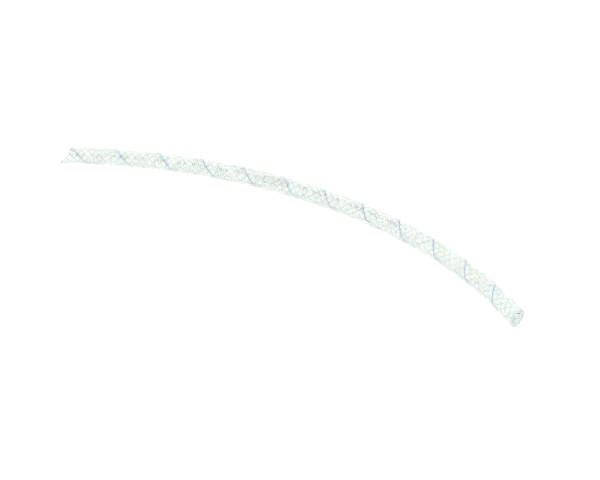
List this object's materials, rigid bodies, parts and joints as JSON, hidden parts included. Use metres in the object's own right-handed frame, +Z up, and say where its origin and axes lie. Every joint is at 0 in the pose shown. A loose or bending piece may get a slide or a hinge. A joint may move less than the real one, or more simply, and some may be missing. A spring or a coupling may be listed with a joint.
{
  "type": "tow rope hose grip",
  "caption": "Clear yarn-reinforced hose sleeve with a coloured tracer yarn, cut to a grip length that a tow rope threads through.",
  "frame": {"origin": "centre of the bounding box in X and Y, on the surface that the hose lies on", "axes": "+X along the chord from the slanted end to the far end, +Y towards the outside of the curl, +Z up"},
  "size_m": [0.4144, 0.0751, 0.014],
  "materials": {
    "liner_clear_pvc": "smooth extruded clear PVC",
    "cover_clear_pvc": "smooth extruded clear PVC, slightly green",
    "yarn_white_polyester": "flat multifilament polyester yarn, embedded",
    "tracer_blue_polyester": "flat multifilament polyester yarn, dyed sky blue, embedded"
  },
  "bodies": {
    "root": {"liner_1": "liner_clear_pvc", "liner_2": "liner_clear_pvc", "liner_3": "liner_clear_pvc", "liner_4": "liner_clear_pvc", "liner_5": "liner_clear_pvc", "liner_6": "liner_clear_pvc", "liner_7": "liner_clear_pvc", "cover_1": "cover_clear_pvc", "cover_2": "cover_clear_pvc", "cover_3": "cover_clear_pvc", "cover_4": "cover_clear_pvc", "cover_5": "cover_clear_pvc", "cover_6": "cover_clear_pvc", "cover_7": "cover_clear_pvc", "left_yarn_1": "yarn_white_polyester", "left_yarn_2": "yarn_white_polyester", "left_yarn_3": "yarn_white_polyester", "left_yarn_4": "yarn_white_polyester", "left_yarn_5": "yarn_white_polyester", "left_yarn_6": "yarn_white_polyester", "right_yarn_1": "yarn_white_polyester", "right_yarn_2": "yarn_white_polyester", "right_yarn_3": "yarn_white_polyester", "right_yarn_4": "yarn_white_polyester", "right_yarn_5": "yarn_white_polyester", "tracer_yarn": "tracer_blue_polyester"}
  },
  "joints": []
}
